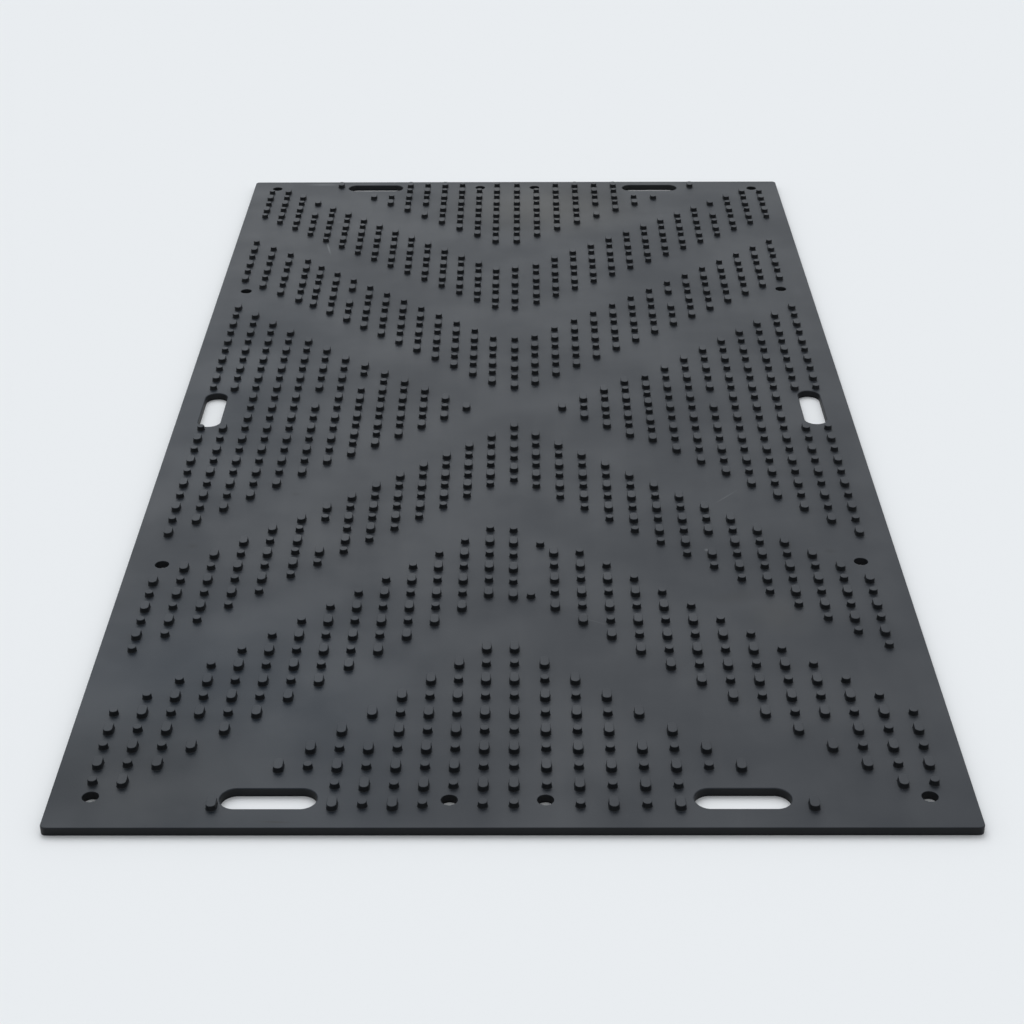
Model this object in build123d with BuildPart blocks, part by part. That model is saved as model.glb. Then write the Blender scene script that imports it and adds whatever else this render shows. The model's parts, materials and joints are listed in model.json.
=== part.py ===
from build123d import *
from dataclasses import dataclass
from math import hypot
import os

os.makedirs("parts", exist_ok=True)

# A ground protection mat: one moulded sheet with hand slots, fixing holes and a studded tread.
# The origin is at the middle of the underside, X runs across the mat and Y along it.

# Plate
mat_length = 2440.0
mat_width = 1220.0
plate_thickness = 12.7
corner_radius = 8.0
rim_softening = 1.2

# Hand slots: two at each end, with their places across the mat, and one in each side
end_slot_length = 128.5
end_slot_width = 43.0
end_slot_line = 52.0
near_slot_places = (-320.5, 303.5)
far_slot_places = (-326.0, 312.0)
side_slot_length = 138.0
side_slot_width = 41.0
side_slot_inset = 63.5

# Fixing holes: four at the corners, four in the sides and two pairs at the ends
hole_diameter = 22.0
hole_inset = 57.5
corner_hole_line = 56.0
side_hole_reach = 556.0
end_hole_line = 49.0
end_hole_places = (-82.5, 44.0)

# Openings stand a little off the plate's middle, and those in the right side a little further along
openings_shift = -3.0
ends_middle = 10.0
left_middle = 4.0
right_middle = 11.5

# Studs: each is four-sided with a little draft, as wide at its foot as given here
short_stud_width = 13.4
long_stud_width = 14.0
long_stud_length = 24.4
stud_height = 8.0
stud_draft = 5.0
stud_clearance = 0.6

# Stud lattice: columns across the mat and rows along it, counted from the middle of the plate
columns_each_side = 14
rows_each_way = 29
side_margin = 50.0
end_margin = 45.0
column = (mat_width / 2 - side_margin) / columns_each_side
row = (mat_length / 2 - end_margin) / rows_each_way

# Tread bands
studs_per_column = 6
triangle_rows = 10
side_columns_left = [23, 21, 19, 17, 15, 13, 11, 11, 9, 7, 5, 3, 1]
side_columns_right = [23, 21, 19, 17, 15, 13, 11, 9, 8, 7, 5, 3, 1]
side_column_spacing = 0.985
side_spacing_outer = 1.035
side_spacing_inner = 0.89
side_middle = 0.17
bare_radius = 0.4
bands = 4


@dataclass(frozen=True)
class Arm:
    """One arm of a chevron: its first and last columns, and the spacing of the six studs in each.

    The places are (column, row) pairs of the stud nearest the mat's middle.
    """

    first: tuple
    last: tuple
    columns: int
    spacing: float
    starts_long: bool


@dataclass(frozen=True)
class Triangle:
    """The studded triangle at one end: its tip row, row spacing and columns to each side."""

    tip_row: float
    row_spacing: float
    left_first: float
    left_spacing: float
    right_first: float
    right_spacing: float


arms = [
    # Inner chevron of the near half
    Arm((0.0, -1.75), (0.0, -1.75), 1, -1.0, True),
    Arm((-1.0, -2.73), (-8.7, -10.1), 9, -0.89, True),
    Arm((-9.8, -10.95), (-14.0, -15.0), 5, -0.96, True),
    Arm((0.95, -2.6), (13.85, -14.85), 14, -0.94, True),
    # Outer chevron of the near half
    Arm((0.0, -11.05), (0.0, -11.05), 1, -1.0, False),
    Arm((-0.95, -10.95), (-13.95, -23.8), 14, -0.99, False),
    Arm((1.6, -11.85), (14.0, -23.8), 13, -1.0, False),
    # Inner chevron of the far half
    Arm((0.0, 2.4), (0.0, 2.4), 1, 1.04, True),
    Arm((-1.05, 2.9), (-10.25, 11.95), 11, 0.965, True),
    Arm((-11.05, 12.6), (-14.1, 15.25), 4, 1.02, True),
    Arm((0.97, 2.85), (13.82, 15.4), 14, 1.0, True),
    # Outer chevron of the far half
    Arm((0.0, 11.5), (0.0, 11.5), 1, 1.035, False),
    Arm((-1.0, 11.65), (-14.1, 24.35), 15, 0.955, False),
    Arm((1.1, 12.2), (14.1, 24.25), 14, 0.98, False),
]
near_triangle = Triangle(-19.73, -1.027, -0.96, 0.985, 0.06, 1.09)
far_triangle = Triangle(20.65, 0.963, -1.08, 1.01, 0.08, 1.12)

# Two studs of the near outer chevron stand out of line, each (column, row)
stray_studs = [(1.07, -12.2), (0.68, -16.1)]

# Places of the lattice that are left flat, each (column, row)
bare_places = [
    (-10.9, -24.9), (10.95, -24.9), (-4.9, -24.9), (4.45, -24.9),
    (-7.8, -11.8), (-7.8, -10.9), (7.8, -12.05), (1.6, -11.85),
    (-9.05, 1.25), (8.9, 1.25), (-7.1, 2.85),
    (-8.5, 13.1), (7.8, 12.5),
    (-11.3, 25.8), (11.0, 25.7), (-5.1, 25.75), (4.6, 25.75),
]


def arm_studs(arm):
    """Places of one arm's studs, each as column, row and whether the stud is long."""
    places = []
    steps = max(arm.columns - 1, 1)
    for index in range(arm.columns):
        across = arm.first[0] + (arm.last[0] - arm.first[0]) * index / steps
        along = arm.first[1] + (arm.last[1] - arm.first[1]) * index / steps
        for place in range(studs_per_column):
            is_long = (place % 2 == 0) == arm.starts_long
            places.append((across, along + place * arm.spacing, is_long))
    return places


def triangle_studs(triangle):
    """Places of an end triangle's studs: each row is one column wider on both sides."""
    places = []
    for step in range(triangle_rows):
        along = triangle.tip_row + step * triangle.row_spacing
        for index in range(step + 1):
            is_long = (step - index) % 2 == 0
            places.append((triangle.left_first - index * triangle.left_spacing, along, is_long))
            places.append((triangle.right_first + index * triangle.right_spacing, along, is_long))
    return places


def side_studs(counts, side):
    """Places of a side triangle's studs, in columns that get shorter towards the mat's middle."""
    places = []
    for index, count in enumerate(counts):
        across = side * (columns_each_side - index * side_column_spacing)
        outer = count == counts[0] - 2 * index
        spacing = side_spacing_outer if outer else side_spacing_inner
        for place in range(count):
            along = side_middle + (place - (count - 1) / 2) * spacing
            places.append((across, along, place % 2 == 0))
    return places


def is_bare(across, along):
    """True where the lattice is left flat."""
    return any(hypot(across - x, along - y) < bare_radius for x, y in bare_places)


def gap_to_opening(x, y, opening):
    """Distance from a point to the rim of an opening, given as middle, half run in X and Y, and radius."""
    middle_x, middle_y, run_x, run_y, radius = opening
    off_x = max(abs(x - middle_x) - run_x, 0.0)
    off_y = max(abs(y - middle_y) - run_y, 0.0)
    return hypot(off_x, off_y) - radius


# Places of the openings
half_length = mat_length / 2
slot_lines = (ends_middle - half_length + end_slot_line, ends_middle + half_length - end_slot_line)
end_slot_centres = [(x, slot_lines[0]) for x in near_slot_places] + [(x, slot_lines[1]) for x in far_slot_places]
side_middles = ((-1, left_middle), (1, right_middle))
side_slot_reach = mat_width / 2 - side_slot_inset
side_slot_centres = [(openings_shift + side * side_slot_reach, middle) for side, middle in side_middles]
hole_reach = mat_width / 2 - hole_inset
corner_reach = half_length - corner_hole_line
corner_hole_centres = [
    (openings_shift + side * hole_reach, ends_middle + end * corner_reach) for side in (-1, 1) for end in (-1, 1)
]
side_hole_centres = [
    (openings_shift + side * hole_reach, middle + end * side_hole_reach)
    for side, middle in side_middles
    for end in (-1, 1)
]
end_hole_reach = half_length - end_hole_line
end_hole_centres = [(x, ends_middle + end * end_hole_reach) for x in end_hole_places for end in (-1, 1)]
hole_centres = corner_hole_centres + side_hole_centres + end_hole_centres

end_slot_run = (end_slot_length - end_slot_width) / 2
side_slot_run = (side_slot_length - side_slot_width) / 2
openings = [(x, y, end_slot_run, 0.0, end_slot_width / 2) for x, y in end_slot_centres]
openings += [(x, y, 0.0, side_slot_run, side_slot_width / 2) for x, y in side_slot_centres]
openings += [(x, y, 0.0, 0.0, hole_diameter / 2) for x, y in hole_centres]


def stud_fits(x, y, is_long):
    """True where a stud is clear of every opening and of the plate's edges."""
    width, length = (long_stud_width, long_stud_length) if is_long else (short_stud_width, short_stud_width)
    reach = (length - width) / 2
    margin = rim_softening + stud_clearance
    inside_x = abs(x) + width / 2 + margin < mat_width / 2
    inside_y = abs(y) + length / 2 + margin < mat_length / 2
    needed = width / 2 + margin
    ends = (y - reach, y, y + reach)
    clear = all(gap_to_opening(x, end, opening) > needed for opening in openings for end in ends)
    return inside_x and inside_y and clear


# All studs that stand, each as X, Y and whether it is long
lattice = [place for arm in arms for place in arm_studs(arm)]
lattice += triangle_studs(near_triangle) + triangle_studs(far_triangle)
lattice += side_studs(side_columns_left, -1) + side_studs(side_columns_right, 1)
lattice = [place for place in lattice if not is_bare(place[0], place[1])]
lattice += [(across, along, False) for across, along in stray_studs]
studs = [(across * column, along * row, is_long) for across, along, is_long in lattice]
studs = [stud for stud in studs if stud_fits(*stud)]

with BuildPart() as sheet:
    # Plate with its slots, their upper rims softened like the plate's own
    with BuildSketch():
        RectangleRounded(mat_width, mat_length, corner_radius)
        with Locations(*end_slot_centres):
            SlotOverall(end_slot_length, end_slot_width, mode=Mode.SUBTRACT)
        with Locations(*side_slot_centres):
            SlotOverall(side_slot_length, side_slot_width, rotation=90, mode=Mode.SUBTRACT)
    extrude(amount=plate_thickness)
    chamfer(sheet.faces().sort_by(Axis.Z)[-1].edges(), rim_softening)

    # Fixing holes, straight through
    with BuildSketch():
        with Locations(*hole_centres):
            Circle(hole_diameter / 2)
    extrude(amount=plate_thickness, mode=Mode.SUBTRACT)


def studded_band(low, high):
    """The mat between two Y levels: that part of the sheet with the studs that stand on it."""
    in_band = [stud for stud in studs if low <= stud[1] < high]
    with BuildPart() as band:
        add(sheet.part)
        with Locations((0, (low + high) / 2)):
            Box(mat_width, high - low, plate_thickness, align=from_floor, mode=Mode.INTERSECT)
        with BuildSketch(Plane.XY.offset(plate_thickness)):
            with Locations(*[(x, y) for x, y, is_long in in_band if is_long]):
                Rectangle(long_stud_width, long_stud_length)
            with Locations(*[(x, y) for x, y, is_long in in_band if not is_long]):
                Rectangle(short_stud_width, short_stud_width)
        extrude(amount=stud_height, taper=stud_draft)
    return band.part


# The mat is modelled in bands from end to end, and they join without a seam
from_floor = (Align.CENTER, Align.CENTER, Align.MIN)
band_length = mat_length / bands
band_starts = [index * band_length - mat_length / 2 for index in range(bands)]
with BuildPart() as ground_mat:
    add([studded_band(start, start + band_length) for start in band_starts])

ground_mat.part.label = "ground_mat"
export_step(ground_mat.part, "parts/ground_mat.step")
long_count = sum(is_long for _, _, is_long in studs)
print(len(studs), "studs,", long_count, "of them long")
print(f"volume {ground_mat.part.volume / 1e6:.3f} litres, solids {len(ground_mat.part.solids())}")
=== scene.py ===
"""Ground protection mat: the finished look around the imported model.

The outline, thickness, openings and studs are all read from the frame. The moulded sheet is
modelled here with rounded rims, its openings with softened lips, and each stud with its real
round or long form, and the whole becomes one closed mesh that replaces the plain node.
"""

import json
import logging
import math
from dataclasses import dataclass
from enum import Enum
from typing import Callable, Iterable, Sequence

import bpy
from mathutils import Matrix, Vector

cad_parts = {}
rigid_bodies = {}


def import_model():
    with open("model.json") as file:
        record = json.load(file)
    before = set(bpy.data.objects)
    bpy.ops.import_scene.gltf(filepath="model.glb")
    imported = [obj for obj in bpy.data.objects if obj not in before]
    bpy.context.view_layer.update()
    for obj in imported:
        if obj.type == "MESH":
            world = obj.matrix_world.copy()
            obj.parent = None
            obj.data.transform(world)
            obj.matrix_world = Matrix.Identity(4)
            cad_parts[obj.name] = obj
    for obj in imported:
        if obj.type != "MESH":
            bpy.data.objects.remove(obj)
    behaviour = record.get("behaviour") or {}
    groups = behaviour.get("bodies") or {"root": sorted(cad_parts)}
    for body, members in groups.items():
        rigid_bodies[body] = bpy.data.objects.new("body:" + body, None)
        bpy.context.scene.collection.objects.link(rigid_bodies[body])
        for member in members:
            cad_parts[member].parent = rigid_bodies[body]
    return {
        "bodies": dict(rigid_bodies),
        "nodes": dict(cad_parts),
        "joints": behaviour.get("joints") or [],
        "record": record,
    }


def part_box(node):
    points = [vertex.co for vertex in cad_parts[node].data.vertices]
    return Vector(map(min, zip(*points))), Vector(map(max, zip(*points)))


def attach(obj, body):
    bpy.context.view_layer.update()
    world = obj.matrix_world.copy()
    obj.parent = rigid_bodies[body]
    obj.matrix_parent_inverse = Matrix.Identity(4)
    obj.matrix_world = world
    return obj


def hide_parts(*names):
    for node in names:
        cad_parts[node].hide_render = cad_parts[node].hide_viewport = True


LOG = logging.getLogger("ground_mat")
MM = 0.001


def deselect_all() -> None:
    """Leave nothing selected and nothing active."""
    bpy.context.view_layer.update()
    bpy.ops.object.select_all(action="DESELECT")
    bpy.context.view_layer.objects.active = None


def make_active(obj: bpy.types.Object) -> None:
    """Select one object alone and make it the active one.

    Args:
        obj: The object that the next operators act on.
    """
    deselect_all()
    obj.select_set(True)
    bpy.context.view_layer.objects.active = obj


def enter_edit(obj: bpy.types.Object, select: str = "SELECT") -> None:
    """Open an object in edit mode.

    Args:
        obj: The object to edit.
        select: What happens to its selection, SELECT or DESELECT.
    """
    make_active(obj)
    bpy.ops.object.mode_set(mode="EDIT")
    bpy.ops.mesh.select_all(action=select)


def leave_edit() -> None:
    """Go back to object mode."""
    bpy.ops.object.mode_set(mode="OBJECT")


def bake_place(obj: bpy.types.Object) -> None:
    """Move an object's place into its mesh, so the object itself sits at the origin.

    Args:
        obj: The object whose transform is applied.
    """
    make_active(obj)
    bpy.ops.object.transform_apply(location=True, rotation=True, scale=True)


def select_faces(obj: bpy.types.Object, wanted: Callable[[bpy.types.MeshPolygon], bool]) -> None:
    """Open an object in edit mode with only some of its faces selected.

    Args:
        obj: The object to edit.
        wanted: Says whether a face is selected.
    """
    enter_edit(obj, "DESELECT")
    bpy.ops.mesh.select_mode(type="FACE")
    leave_edit()
    for polygon in obj.data.polygons:
        polygon.select = wanted(polygon)
    bpy.ops.object.mode_set(mode="EDIT")


def select_vertices(obj: bpy.types.Object, wanted: Callable[[Vector], bool]) -> None:
    """Open an object in edit mode with only some of its vertices selected.

    Args:
        obj: The object to edit.
        wanted: Says whether a vertex at that place is selected.
    """
    enter_edit(obj, "DESELECT")
    bpy.ops.mesh.select_mode(type="VERT")
    leave_edit()
    for vertex in obj.data.vertices:
        vertex.select = wanted(vertex.co)
    bpy.ops.object.mode_set(mode="EDIT")


def join_as(objects: Sequence[bpy.types.Object], name: str) -> bpy.types.Object:
    """Join objects into one.

    Args:
        objects: The objects to join, of which the first stays.
        name: The name of the joined object.

    Returns:
        The joined object.
    """
    make_active(objects[0])
    for obj in objects[1:]:
        obj.select_set(True)
    bpy.ops.object.join()
    joined = bpy.context.view_layer.objects.active
    joined.name = name
    return joined


def combine(target: bpy.types.Object, tool: bpy.types.Object, operation: str) -> None:
    """Cut one closed mesh out of another or fuse it on, and remove the tool.

    Args:
        target: The mesh that is kept.
        tool: The mesh that is cut out or fused on.
        operation: DIFFERENCE or UNION.
    """
    make_active(target)
    modifier = target.modifiers.new("combine", "BOOLEAN")
    modifier.operation = operation
    modifier.solver = "MANIFOLD"
    modifier.object = tool
    bpy.ops.object.modifier_apply(modifier=modifier.name)
    bpy.data.objects.remove(tool)


def ring_stack(name: str, sides: int, rings: Sequence[tuple[float, float]]) -> bpy.types.Object:
    """Model a closed round form as a stack of rings, drawn up from a filled circle.

    Args:
        name: The object's name.
        sides: How many sides each ring has.
        rings: Height and radius of each ring from the lowest up, in metres.

    Returns:
        The closed form, standing on the Z axis.
    """
    height, radius = rings[0]
    bpy.ops.mesh.primitive_circle_add(
        vertices=sides, radius=radius, fill_type="NGON", location=(0, 0, height), rotation=(0, 0, math.pi / sides)
    )
    form = bpy.context.view_layer.objects.active
    form.name = name
    bake_place(form)
    enter_edit(form)
    for next_height, next_radius in rings[1:]:
        bpy.ops.mesh.extrude_region_move(TRANSFORM_OT_translate={"value": (0, 0, next_height - height)})
        growth = next_radius / radius
        bpy.ops.transform.resize(value=(growth, growth, 1), center_override=(0, 0, next_height))
        height, radius = next_height, next_radius
    bpy.ops.mesh.select_all(action="SELECT")
    bpy.ops.mesh.normals_make_consistent(inside=False)
    leave_edit()
    return form


def draw_out(form: bpy.types.Object, run: float, axis: int) -> None:
    """Draw a round form out into a long one by moving its halves apart.

    Args:
        form: The form, centred on the Z axis.
        run: How far apart the centres of its two round ends get.
        axis: Along which axis, 0 for X and 1 for Y.
    """
    for side in (-1, 1):
        shift = [0.0, 0.0, 0.0]
        shift[axis] = side * run / 2
        select_vertices(form, lambda place, side=side: place[axis] * side > 0)
        bpy.ops.transform.translate(value=shift)
        leave_edit()


class StudForm(Enum):
    """The two forms that the tread's studs have."""

    ROUND = "round"
    LONG = "long"


@dataclass(frozen=True)
class StudPlace:
    """Where a stud stands, in metres, and which form it has."""

    x: float
    y: float
    form: StudForm


@dataclass(frozen=True)
class Opening:
    """A slot or hole: its middle, its end radius and how far it is drawn out in X or Y, in metres."""

    x: float
    y: float
    radius: float
    run: float = 0.0
    axis: int = 0


@dataclass
class MatLayout:
    """What the frame says of the mat: its outline, plate level, studs and openings."""

    frame: dict
    node: str = "ground_mat"
    near_slot: tuple[float, float] = (128 * MM, 43 * MM)
    far_slot: tuple[float, float] = (126 * MM, 38 * MM)
    side_slot: tuple[float, float] = (137 * MM, 40 * MM)

    def corners(self) -> tuple[Vector, Vector]:
        """Lowest and highest corner of the mat."""
        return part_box(self.node)

    def plate_top(self) -> float:
        """Height of the plate's upper face, where the hole patterns are placed."""
        return self.mount("corner_holes")["pos_m"][2]

    def mount(self, name: str) -> dict:
        """One mount of the record, by its name."""
        return next(mount for mount in self.frame["record"]["mounts"] if mount["name"] == name)

    def studs(self) -> list[StudPlace]:
        """Read every stud's place and form from the flat faces at the node's highest level.

        Returns:
            The studs, in order of their place.
        """
        mesh = self.frame["nodes"][self.node].data
        level = self.corners()[1].z - 0.5 * MM
        tops: dict[tuple[int, int], set] = {}
        for polygon in mesh.polygons:
            points = [mesh.vertices[index].co for index in polygon.vertices]
            if min(point.z for point in points) < level:
                continue
            corners = {(round(point.x / MM, 1), round(point.y / MM, 1)) for point in points}
            known = next((tops[corner] for corner in corners if corner in tops), set())
            known |= corners
            tops.update({corner: known for corner in known})
        places = {frozenset(top) for top in tops.values()}
        return sorted((self._place(top) for top in places), key=lambda place: (place.y, place.x))

    @staticmethod
    def _place(corners: Iterable[tuple[float, float]]) -> StudPlace:
        """Work out a stud's middle and form from its top.

        Args:
            corners: The top's corners, in millimetres.

        Returns:
            The stud's place.
        """
        across = [corner[0] for corner in corners]
        along = [corner[1] for corner in corners]
        width = max(across) - min(across)
        length = max(along) - min(along)
        form = StudForm.LONG if length > 1.3 * width else StudForm.ROUND
        return StudPlace((max(across) + min(across)) / 2 * MM, (max(along) + min(along)) / 2 * MM, form)

    def slots(self) -> list[Opening]:
        """The hand slots, one at the middle of each opening that the record states.

        Returns:
            The six slots.
        """
        found = []
        for opening in self.frame["record"]["physics"]["openings"]:
            low, high = opening["box_m"]
            lies_across = high[0] - low[0] > high[1] - low[1]
            middle = [(a + b) / 2 for a, b in zip(low, high)]
            end_slot = self.far_slot if middle[1] > 0 else self.near_slot
            length, width = end_slot if lies_across else self.side_slot
            found.append(Opening(middle[0], middle[1], width / 2, length - width, 0 if lies_across else 1))
        return found

    def holes(self) -> list[Opening]:
        """The round holes, at the corners of each bolt pattern that the record states.

        Returns:
            The twelve holes.
        """
        found = []
        for mount in self.frame["record"]["mounts"]:
            if mount["kind"] != "bolt_pattern":
                continue
            dims, (x, y, _) = mount["dims"], mount["pos_m"]
            reach_x, reach_y = dims["spacing_x_mm"] / 2 * MM, dims["spacing_y_mm"] / 2 * MM
            places = {(x + side * reach_x, y + end * reach_y) for side in (-1, 1) for end in (-1, 1)}
            found += [Opening(*place, dims["hole_r_mm"] * MM) for place in sorted(places)]
        return found


@dataclass
class Plate:
    """The flat sheet with its rounded rims."""

    layout: MatLayout
    corner_radius: float = 8 * MM
    corner_segments: int = 6
    top_rounding: float = 1.2 * MM
    bottom_rounding: float = 0.6 * MM
    rounding_steps: int = 3

    def build(self) -> bpy.types.Object:
        """Draw the sheet up from its outline, and round its upper and lower rims.

        Returns:
            The closed sheet without openings.
        """
        low, high = self.layout.corners()
        bpy.ops.mesh.primitive_plane_add(size=1, location=(0, 0, self.bottom_rounding))
        plate = bpy.context.view_layer.objects.active
        plate.name = "studded_sheet"
        plate.scale = (high.x - low.x, high.y - low.y, 1)
        bake_place(plate)
        enter_edit(plate)
        bpy.ops.mesh.bevel(offset=self.corner_radius, segments=self.corner_segments, affect="VERTICES")
        wall = self.layout.plate_top() - self.top_rounding - self.bottom_rounding
        leave_edit()
        select_faces(plate, lambda face: True)
        bpy.ops.mesh.extrude_region_move(TRANSFORM_OT_translate={"value": (0, 0, wall)})
        leave_edit()
        self._round_rim(plate, 1, self.top_rounding)
        self._round_rim(plate, -1, self.bottom_rounding)
        enter_edit(plate)
        bpy.ops.mesh.normals_make_consistent(inside=False)
        leave_edit()
        return plate

    def _round_rim(self, plate: bpy.types.Object, side: int, rounding: float) -> None:
        """Round the rim of the upper or lower face by insets along a quarter circle.

        Args:
            plate: The sheet.
            side: 1 for the upper face, -1 for the lower one.
            rounding: The quarter circle's radius.
        """
        enter_edit(plate)
        bpy.ops.mesh.normals_make_consistent(inside=False)
        leave_edit()
        select_faces(plate, lambda face: face.normal.z * side > 0.9)
        for step in range(self.rounding_steps):
            start, end = (math.pi / 2 * (step + i) / self.rounding_steps for i in (0, 1))
            bpy.ops.mesh.inset(
                thickness=rounding * (math.cos(start) - math.cos(end)),
                depth=rounding * (math.sin(end) - math.sin(start)),
            )
        leave_edit()


@dataclass
class OpeningCutters:
    """Forms that cut the slots and holes, each flared at the top to leave a softened lip."""

    layout: MatLayout
    slot_lip: float = 2.0 * MM
    hole_lip: float = 0.9 * MM
    slot_sides: int = 32
    hole_sides: int = 28
    lip_angles: tuple[float, ...] = (0.0, 25.0, 50.0, 75.0)
    exit_run: float = 0.35
    below: float = 5 * MM

    def build(self) -> bpy.types.Object:
        """Model every cutter and join them.

        Returns:
            All cutters as one object.
        """
        cutters = [self._cutter(slot, self.slot_sides, self.slot_lip) for slot in self.layout.slots()]
        cutters += [self._cutter(hole, self.hole_sides, self.hole_lip) for hole in self.layout.holes()]
        return join_as(cutters, "opening_cutters")

    def _cutter(self, opening: Opening, sides: int, lip: float) -> bpy.types.Object:
        """Model one cutter, its wall straight and then curving outwards to the plate's top.

        Args:
            opening: The slot or hole that it cuts.
            sides: How many sides its round ends have together.
            lip: Radius of the softened lip.

        Returns:
            The cutter, in place.
        """
        start = self.layout.plate_top() - lip
        rings = [(-self.below, opening.radius)]
        for angle in self.lip_angles:
            turn = math.radians(angle)
            rings.append((start + lip * math.sin(turn), opening.radius + lip * (1 - math.cos(turn))))
        last = math.radians(self.lip_angles[-1])
        height, radius = rings[-1]
        run = self.exit_run * lip
        rings.append((height + run * math.cos(last), radius + run * math.sin(last)))
        cutter = ring_stack("opening_cutter", sides, rings)
        if opening.run:
            draw_out(cutter, opening.run, opening.axis)
        cutter.data.transform(Matrix.Translation((opening.x, opening.y, 0)))
        return cutter


@dataclass
class Tread:
    """The studs: a round and a long one are modelled, and copied to every place."""

    layout: MatLayout
    round_radius: float = 6.6 * MM
    long_radius: float = 7.0 * MM
    long_length: float = 24.4 * MM
    sides: int = 12
    foot_sunk: float = 0.35 * MM
    foot_spread: tuple[float, float, float] = (1.1 * MM, 0.9 * MM, 0.1 * MM)
    foot_rise: tuple[float, float] = (0.1 * MM, 0.9 * MM)
    draft: float = 0.35 * MM
    top_rounding: float = 0.8 * MM
    rounding_steps: int = 2

    def profile(self, radius: float) -> list[tuple[float, float]]:
        """Height and radius of a stud's rings, from its sunk foot to its flat top.

        Args:
            radius: The stud's radius above its foot.

        Returns:
            The rings, from the lowest up.
        """
        base = self.layout.plate_top()
        top = self.layout.corners()[1].z
        levels = (-self.foot_sunk, *self.foot_rise)
        rings = [(base + level, radius + spread) for level, spread in zip(levels, self.foot_spread)]
        for step in range(self.rounding_steps + 1):
            turn = math.pi / 2 * step / self.rounding_steps
            drop, inset = (self.top_rounding * (1 - share) for share in (math.sin(turn), math.cos(turn)))
            rings.append((top - drop, radius - self.draft - inset))
        return rings

    def masters(self) -> dict[StudForm, bpy.types.Object]:
        """Model one stud of each form, standing at the origin.

        Returns:
            The stud to copy for each form.
        """
        round_stud = ring_stack("round_stud", self.sides, self.profile(self.round_radius))
        long_stud = ring_stack("long_stud", self.sides, self.profile(self.long_radius))
        draw_out(long_stud, self.long_length - 2 * self.long_radius, 1)
        return {StudForm.ROUND: round_stud, StudForm.LONG: long_stud}

    def build(self) -> bpy.types.Object:
        """Copy the modelled studs to every place of the tread.

        Returns:
            All studs as one object.
        """
        masters = self.masters()
        copies = []
        for place in self.layout.studs():
            stud = masters[place.form].copy()
            stud.data = masters[place.form].data.copy()
            stud.data.transform(Matrix.Translation((place.x, place.y, 0)))
            bpy.context.scene.collection.objects.link(stud)
            copies.append(stud)
        for master in masters.values():
            bpy.data.objects.remove(master)
        LOG.info("tread: %d studs", len(copies))
        return join_as(copies, "tread")


Feed = bpy.types.NodeSocket | float | Sequence[float]


@dataclass
class NodeBench:
    """Adds nodes to one shader tree and joins them up."""

    tree: bpy.types.NodeTree

    def add(self, kind: str, feeds: dict[int | str, Feed] | None = None, **settings: str) -> bpy.types.Node:
        """Add a node.

        Args:
            kind: The node's type.
            feeds: What goes into its sockets, each by its name or number: another socket or a plain value.
            settings: The node's own settings.

        Returns:
            The new node.
        """
        node = self.tree.nodes.new(kind)
        for name, value in settings.items():
            setattr(node, name, value)
        for socket, feed in (feeds or {}).items():
            if isinstance(feed, bpy.types.NodeSocket):
                self.tree.links.new(feed, node.inputs[socket])
            else:
                node.inputs[socket].default_value = feed
        return node

    def group(self, tree: bpy.types.NodeTree, feeds: dict[str, Feed]) -> bpy.types.NodeSocket:
        """Place a node group.

        Args:
            tree: The group's tree.
            feeds: What goes into its inputs, each by its name: another socket or a plain value.

        Returns:
            The group's only output.
        """
        holder = self.tree.nodes.new("ShaderNodeGroup")
        holder.node_tree = tree
        for socket, feed in feeds.items():
            if isinstance(feed, bpy.types.NodeSocket):
                self.tree.links.new(feed, holder.inputs[socket])
            else:
                holder.inputs[socket].default_value = feed
        return holder.outputs[0]

    def blend(self, amount: Feed, below: Feed, above: Feed) -> bpy.types.NodeSocket:
        """Lay one colour over another by an amount from 0 to 1."""
        feeds = {"Factor": amount, 6: below, 7: above}
        return self.add("ShaderNodeMix", feeds, data_type="RGBA").outputs[2]

    def maths(self, operation: str, first: Feed, second: Feed) -> bpy.types.NodeSocket:
        """Work out one number from two."""
        return self.add("ShaderNodeMath", {0: first, 1: second}, operation=operation).outputs[0]

    def along(self, operation: str, first: Feed, second: Feed) -> bpy.types.NodeSocket:
        """Work out one vector from two."""
        return self.add("ShaderNodeVectorMath", {0: first, 1: second}, operation=operation).outputs["Vector"]


def new_group(name: str, inputs: dict[str, str]) -> bpy.types.NodeTree:
    """Make an empty node group that puts out one mask.

    Args:
        name: The group's name.
        inputs: The name of each input, with its kind, Float or Vector.

    Returns:
        The group's tree.
    """
    tree = bpy.data.node_groups.new(name, "ShaderNodeTree")
    for label, kind in inputs.items():
        tree.interface.new_socket(label, in_out="INPUT", socket_type=f"NodeSocket{kind}")
    tree.interface.new_socket("Mask", in_out="OUTPUT", socket_type="NodeSocketFloat")
    return tree


def mottle_group() -> bpy.types.NodeTree:
    """Node group: cloudy noise, cut to a mask between a low and a high level.

    Returns:
        The group's tree.
    """
    inputs = {"Place": "Vector", "Scale": "Float", "Detail": "Float", "Low": "Float", "High": "Float"}
    tree = new_group("mottle", inputs)
    bench = NodeBench(tree)
    given = bench.add("NodeGroupInput").outputs
    feeds = {"Vector": given["Place"], "Scale": given["Scale"], "Detail": given["Detail"]}
    noise = bench.add("ShaderNodeTexNoise", feeds)
    feeds = {"Value": noise.outputs[0], "From Min": given["Low"], "From Max": given["High"]}
    mask = bench.add("ShaderNodeMapRange", feeds, interpolation_type="SMOOTHSTEP")
    bench.add("NodeGroupOutput", {"Mask": mask.outputs[0]})
    return tree


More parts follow.
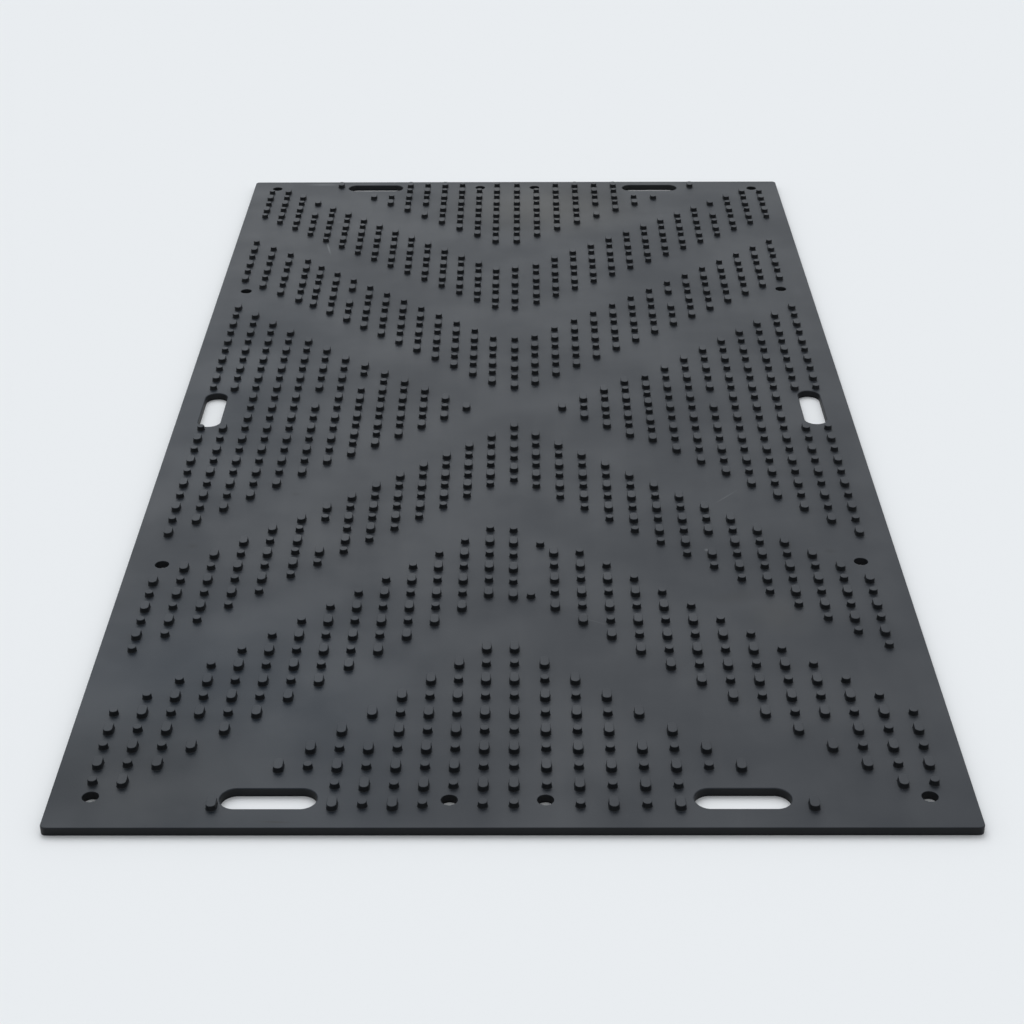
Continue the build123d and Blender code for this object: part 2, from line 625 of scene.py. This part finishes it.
def patch_group() -> bpy.types.NodeTree:
    """Node group: one soft elliptical patch, such as a smudge, a spot or a thin scratch.

    Returns:
        The group's tree.
    """
    inputs = {"Place": "Vector", "Middle": "Vector", "Reach": "Vector", "Turn": "Float", "Strength": "Float"}
    tree = new_group("soft_patch", inputs)
    bench = NodeBench(tree)
    given = bench.add("NodeGroupInput").outputs
    offset = bench.along("SUBTRACT", given["Place"], given["Middle"])
    feeds = {"Vector": offset, "Angle": given["Turn"]}
    turned = bench.add("ShaderNodeVectorRotate", feeds, rotation_type="Z_AXIS").outputs[0]
    share = bench.along("DIVIDE", turned, given["Reach"])
    distance = bench.add("ShaderNodeVectorMath", {0: share}, operation="LENGTH").outputs["Value"]
    feeds = {"Value": distance, "From Min": 1.0, "From Max": 0.0, "To Max": given["Strength"]}
    mask = bench.add("ShaderNodeMapRange", feeds, interpolation_type="SMOOTHSTEP")
    bench.add("NodeGroupOutput", {"Mask": mask.outputs[0]})
    return tree


@dataclass(frozen=True)
class Mark:
    """A soft patch on the mat: middle and reach in metres, turn in degrees, and strength."""

    x: float
    y: float
    reach_x: float
    reach_y: float
    turn: float = 0.0
    strength: float = 0.5


@dataclass(frozen=True)
class MouldedPlastic:
    """Matt black polyethylene, clouded grey on its flat faces, with its upright walls painted near black as shade."""

    plate_top: float
    name: str = "mat_plastic"
    colour: tuple[float, float, float] = (0.0155, 0.0185, 0.0240)
    pale_colour: tuple[float, float, float] = (0.0310, 0.0335, 0.0385)
    # Painted reflection: bluish tint standing in for a bluer sky reflected in the plate.
    painted_reflection_colour: tuple[float, float, float] = (0.0085, 0.0155, 0.0250)
    # Painted sheen: warm pale colour standing in for a glossy reflection.
    painted_sheen_colour: tuple[float, float, float] = (0.0800, 0.0720, 0.0560)
    # Painted shade: near-black colour given to the upright walls.
    painted_wall_shade: tuple[float, float, float] = (0.0050, 0.0060, 0.0075)
    scuff_colour: tuple[float, float, float] = (0.1100, 0.1150, 0.1200)
    # Dark colour of the smudges and of the broad painted shade patch.
    smudge_and_shade_colour: tuple[float, float, float] = (0.0080, 0.0095, 0.0115)
    cloud_share: float = 0.35
    top_pale_share: float = 0.12
    top_pale_start: float = 6.8 * MM
    top_pale_end: float = 8.0 * MM
    wall_slope: float = 0.10
    face_slope: float = 0.40
    roughness: tuple[float, float] = (0.46, 0.58)
    specular: float = 0.26
    grain_depth: float = 0.05 * MM
    grain_scale: float = 700.0
    grain_turn: tuple[float, float, float] = (0.6, 0.4, 0.5)
    # Painted reflection: bluish tint at the near left and along the left side, where a bluer sky is reflected.
    painted_cool_reflections: tuple[Mark, ...] = (
        Mark(-0.44, -1.00, 0.45, 0.60, 0, 0.8),
        Mark(-0.50, 0.10, 0.30, 0.80, 0, 0.4),
    )
    # Painted sheen: warm paler patches where the plate catches a warm glossy reflection.
    painted_warm_sheens: tuple[Mark, ...] = (
        Mark(0.06, 1.05, 0.30, 0.24, 0, 0.35),
        Mark(0.402, -0.700, 0.070, 0.080, 0, 0.12),
    )
    scuffs: tuple[Mark, ...] = (
        Mark(-0.4055, 0.801, 0.0035, 0.055, 11.4, 0.7),
        Mark(-0.393, 0.958, 0.010, 0.004, 0, 0.6),
        Mark(-0.449, 1.203, 0.055, 0.012, 0, 0.6),
        Mark(0.309, -0.508, 0.006, 0.006, 0, 0.8),
        Mark(0.355, -0.331, 0.0025, 0.040, -41.8, 0.35),
        Mark(0.12, -0.72, 0.0015, 0.050, 62, 0.25),
        Mark(-0.22, 0.33, 0.0015, 0.060, 75, 0.25),
    )
    # Small smudges and a dark line at the near rim, with one broad painted-shade patch at the near left.
    smudges_and_painted_shade: tuple[Mark, ...] = (
        Mark(-0.516, -0.494, 0.014, 0.010, 0, 0.6),
        Mark(0.505, -0.512, 0.014, 0.010, 0, 0.6),
        Mark(-0.366, -0.319, 0.012, 0.009, 0, 0.6),
        Mark(-0.305, -1.208, 0.032, 0.003, -4, 0.8),
        Mark(0.345, -0.650, 0.060, 0.030, 20, 0.5),
        # Painted shade: a broad darker patch at the near left, where the plate reflects less light.
        Mark(-0.500, -1.120, 0.350, 0.300, 0, 0.6),
    )

    def build(self) -> bpy.types.Material:
        """Make the material.

        Returns:
            The finished material.
        """
        material = bpy.data.materials.new(self.name)
        material.use_nodes = True
        bench = NodeBench(material.node_tree)
        place = bench.add("ShaderNodeTexCoord").outputs["Object"]
        mottle = mottle_group()
        shader = material.node_tree.nodes["Principled BSDF"]
        links = material.node_tree.links
        # Painted shade: the upright walls get a near-black colour, the flat faces the clouded tone.
        tone = bench.blend(self._wall_shade_mask(bench), (*self.painted_wall_shade, 1), self._tone(bench, place, mottle))
        links.new(tone, shader.inputs["Base Color"])
        sheen = self._mottle(bench, mottle, place, (5.0, 4.0, 0.3, 0.7))
        low, high = self.roughness
        roughness = bench.add("ShaderNodeMapRange", {"Value": sheen, "To Min": low, "To Max": high})
        links.new(roughness.outputs[0], shader.inputs["Roughness"])
        shader.inputs["Specular IOR Level"].default_value = self.specular
        turned = bench.add("ShaderNodeMapping", {"Vector": place, "Rotation": self.grain_turn}).outputs[0]
        grain = self._mottle(bench, mottle, turned, (self.grain_scale, 2.0, 0.2, 0.8))
        bump = bench.add("ShaderNodeBump", {"Height": grain, "Distance": self.grain_depth})
        links.new(bump.outputs[0], shader.inputs["Normal"])
        return material

    @staticmethod
    def _mottle(
        bench: NodeBench,
        mottle: bpy.types.NodeTree,
        place: bpy.types.NodeSocket,
        values: tuple[float, float, float, float],
    ) -> bpy.types.NodeSocket:
        """Place the mottle group with its scale, detail, low level and high level."""
        scale, detail, low, high = values
        return bench.group(mottle, {"Place": place, "Scale": scale, "Detail": detail, "Low": low, "High": high})

    def _tone(
        self, bench: NodeBench, place: bpy.types.NodeSocket, mottle: bpy.types.NodeTree
    ) -> bpy.types.NodeSocket:
        """Colour of the plastic: clouds, a painted bluish reflection tint, painted warm sheen, stud tops paler towards
        the top, scuffs, smudges and a broad painted shade patch.

        Args:
            bench: The material's nodes.
            place: The place on the mat.
            mottle: The node group of cloudy noise.

        Returns:
            The colour.
        """
        patch = patch_group()
        clouds = self._mottle(bench, mottle, place, (2.6, 5.0, 0.38, 0.72))
        streaks = bench.along("MULTIPLY", place, (9.0, 1.2, 1.0))
        streaks = self._mottle(bench, mottle, streaks, (2.0, 3.0, 0.45, 0.8))
        cloudy = bench.maths("MULTIPLY", bench.maths("ADD", clouds, streaks), self.cloud_share)
        tone = bench.blend(cloudy, (*self.colour, 1), (*self.pale_colour, 1))
        layers = [
            (self.painted_cool_reflections, self.painted_reflection_colour),
            (self.painted_warm_sheens, self.painted_sheen_colour),
            (self.scuffs, self.scuff_colour),
            (self.smudges_and_painted_shade, self.smudge_and_shade_colour),
        ]
        for marks, colour in layers:
            tone = bench.blend(self._marks(bench, patch, place, marks), tone, (*colour, 1))
        # Paler towards the stud tops, from 6.8 mm above the plate upwards.
        height = bench.add("ShaderNodeSeparateXYZ", {0: place}).outputs["Z"]
        start, end = self.plate_top + self.top_pale_start, self.plate_top + self.top_pale_end
        feeds = {"Value": height, "From Min": start, "From Max": end, "To Max": self.top_pale_share}
        paler_top = bench.add("ShaderNodeMapRange", feeds).outputs[0]
        return bench.blend(paler_top, tone, (*self.pale_colour, 1))

    def _wall_shade_mask(self, bench: NodeBench) -> bpy.types.NodeSocket:
        """Where the walls are painted in shade, by how level the surface is.

        Args:
            bench: The material's nodes.

        Returns:
            0 on the upright walls and 1 on the flat faces.
        """
        normal = bench.add("ShaderNodeTexCoord").outputs["Normal"]
        level = bench.add("ShaderNodeSeparateXYZ", {0: normal}).outputs["Z"]
        level = bench.maths("MULTIPLY", level, level)
        feeds = {"Value": level, "From Min": self.wall_slope, "From Max": self.face_slope}
        return bench.add("ShaderNodeMapRange", feeds, interpolation_type="SMOOTHSTEP").outputs[0]

    @staticmethod
    def _marks(
        bench: NodeBench, patch: bpy.types.NodeTree, place: bpy.types.NodeSocket, marks: Sequence[Mark]
    ) -> bpy.types.NodeSocket:
        """Sum of several soft patches.

        Args:
            bench: The material's nodes.
            patch: The node group of one patch.
            place: The place on the mat.
            marks: The patches.

        Returns:
            Their mask.
        """
        total: Feed = 0.0
        for mark in marks:
            feeds = {
                "Place": place,
                "Middle": (mark.x, mark.y, 0.0),
                "Reach": (mark.reach_x, mark.reach_y, 1.0),
                "Turn": math.radians(-mark.turn),
                "Strength": mark.strength,
            }
            total = bench.maths("ADD", bench.group(patch, feeds), total)
        return total


@dataclass
class GroundMat:
    """The whole mat as one closed mesh."""

    layout: MatLayout
    smooth_angle: float = 50.0

    def build(self) -> bpy.types.Object:
        """Model the sheet, fuse its studs on, cut its openings and dress it.

        Returns:
            The mat, riding on the frame in place of the plain node.
        """
        mat = Plate(self.layout).build()
        combine(mat, Tread(self.layout).build(), "UNION")
        combine(mat, OpeningCutters(self.layout).build(), "DIFFERENCE")
        self._smooth(mat)
        plastic = MouldedPlastic(self.layout.plate_top())
        mat.data.materials.clear()
        mat.data.materials.append(plastic.build())
        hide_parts(self.layout.node)
        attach(mat, "root")
        mat.data.calc_loop_triangles()
        LOG.info("%s: %d faces, %d triangles", mat.name, len(mat.data.polygons), len(mat.data.loop_triangles))
        return mat

    def _smooth(self, mat: bpy.types.Object) -> None:
        """Shade the roundings smooth and keep the flat faces flat.

        Args:
            mat: The finished mesh.
        """
        make_active(mat)
        bpy.ops.object.shade_smooth_by_angle(angle=math.radians(self.smooth_angle))
        modifier = mat.modifiers.new("flat_faces_lead", "WEIGHTED_NORMAL")
        modifier.keep_sharp = True
        modifier.weight = 60
        bpy.ops.object.modifier_apply(modifier=modifier.name)


@dataclass
class Studio:
    """Pale floor, soft light from the sky and from behind, and the camera at standing height."""

    layout: MatLayout
    floor_size: float = 40.0
    floor_colour: tuple[float, float, float] = (0.849, 0.845, 0.838)
    floor_bounce: tuple[float, float, float] = (0.14, 0.14, 0.14)
    backdrop_colour: tuple[float, float, float] = (0.815, 0.845, 0.871)
    camera_x: float = 0.01274
    camera_distance: float = 3.2723
    camera_height: float = 1.6033
    camera_pitch: float = 29.02
    camera_yaw: float = 0.31
    camera_roll: float = -0.22
    focal_length: float = 70.275
    sensor_width: float = 36.0
    light_colour: tuple[float, float, float] = (0.96, 1.0, 1.04)
    sky_front: float = 0.30
    sky_back: float = 1.10
    sun_strength: float = 1.23
    sun_height: float = 50.0
    sun_side: float = 12.0
    sun_spread: float = 45.0

    def build(self) -> None:
        """Set the floor, the light and the camera, and the plain view."""
        self._floor()
        self._light()
        self._camera()
        bpy.context.scene.view_settings.view_transform = "Standard"

    @staticmethod
    def _shown(bench: NodeBench) -> bpy.types.NodeSocket:
        """Tell the rays that show floor and backdrop from those that only carry their light.

        Args:
            bench: The nodes of the floor's material or of the world.

        Returns:
            1 for the rays that show them, and 0 for the rest.
        """
        ray = bench.add("ShaderNodeLightPath").outputs
        shown = bench.maths("MAXIMUM", ray["Is Camera Ray"], ray["Is Glossy Ray"])
        return bench.maths("MAXIMUM", shown, ray["Is Transmission Ray"])

    def _floor(self) -> None:
        """A plain floor, pale to the camera and darker in what it gives back to the mat."""
        bpy.ops.mesh.primitive_plane_add(size=self.floor_size, location=(0, 0, 0))
        floor = bpy.context.view_layer.objects.active
        floor.name = "floor"
        material = bpy.data.materials.new("floor_paper")
        material.use_nodes = True
        tree = material.node_tree
        tree.nodes.remove(tree.nodes["Principled BSDF"])
        bench = NodeBench(tree)
        shown = self._shown(bench)
        seen = bench.add("ShaderNodeBsdfDiffuse", {"Color": (*self.floor_colour, 1)}).outputs[0]
        bounce = bench.add("ShaderNodeBsdfDiffuse", {"Color": (*self.floor_bounce, 1)}).outputs[0]
        mix = bench.add("ShaderNodeMixShader", {0: shown, 1: bounce, 2: seen}).outputs[0]
        tree.links.new(mix, tree.nodes["Material Output"].inputs["Surface"])
        floor.data.materials.append(material)

    def _light(self) -> None:
        """A soft sky, brighter behind the mat, and a broad sun from behind and a little to the left."""
        world = bpy.data.worlds.new("sky")
        world.use_nodes = True
        bench = NodeBench(world.node_tree)
        towards = bench.add("ShaderNodeTexCoord").outputs["Generated"]
        back = bench.add("ShaderNodeSeparateXYZ", {0: towards}).outputs["Y"]
        feeds = {"Value": back, "From Min": -1.0, "To Min": self.sky_front, "To Max": self.sky_back}
        strength = bench.add("ShaderNodeMapRange", feeds).outputs[0]
        light = bench.add("ShaderNodeBackground", {"Color": (*self.light_colour, 1), "Strength": strength})
        backdrop = world.node_tree.nodes["Background"]
        backdrop.inputs["Color"].default_value = (*self.backdrop_colour, 1)
        feeds = {0: self._shown(bench), 1: light.outputs[0], 2: backdrop.outputs[0]}
        mix = bench.add("ShaderNodeMixShader", feeds).outputs[0]
        world.node_tree.links.new(mix, world.node_tree.nodes["World Output"].inputs["Surface"])
        bpy.context.scene.world = world
        lamp = bpy.data.lights.new("broad_sun", "SUN")
        lamp.energy = self.sun_strength
        lamp.color = self.light_colour
        lamp.angle = math.radians(self.sun_spread)
        holder = bpy.data.objects.new("broad_sun", lamp)
        turn = Matrix.Rotation(math.radians(self.sun_side), 4, "Z")
        tilt = Matrix.Rotation(math.radians(self.sun_height - 90), 4, "X")
        holder.matrix_world = turn @ tilt
        bpy.context.scene.collection.objects.link(holder)

    def _camera(self) -> None:
        """The camera, looking down along the mat from its near end."""
        data = bpy.data.cameras.new("camera")
        data.lens = self.focal_length
        data.sensor_width = self.sensor_width
        data.clip_end = 100.0
        camera = bpy.data.objects.new("camera", data)
        place = Matrix.Translation((self.camera_x, -self.camera_distance, self.layout.plate_top() + self.camera_height))
        turn = Matrix.Rotation(math.radians(self.camera_yaw), 4, "Z")
        tilt = Matrix.Rotation(math.radians(90 - self.camera_pitch), 4, "X")
        roll = Matrix.Rotation(math.radians(self.camera_roll), 4, "Z")
        camera.matrix_world = place @ turn @ tilt @ roll
        bpy.context.scene.collection.objects.link(camera)
        bpy.context.scene.camera = camera


def main() -> None:
    """Build the mat and its setting around the frame."""
    logging.basicConfig(level=logging.INFO, format="%(name)s: %(message)s")
    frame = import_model()
    deselect_all()
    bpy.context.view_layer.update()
    layout = MatLayout(frame)
    GroundMat(layout).build()
    Studio(layout).build()


if __name__ == "__main__":
    main()
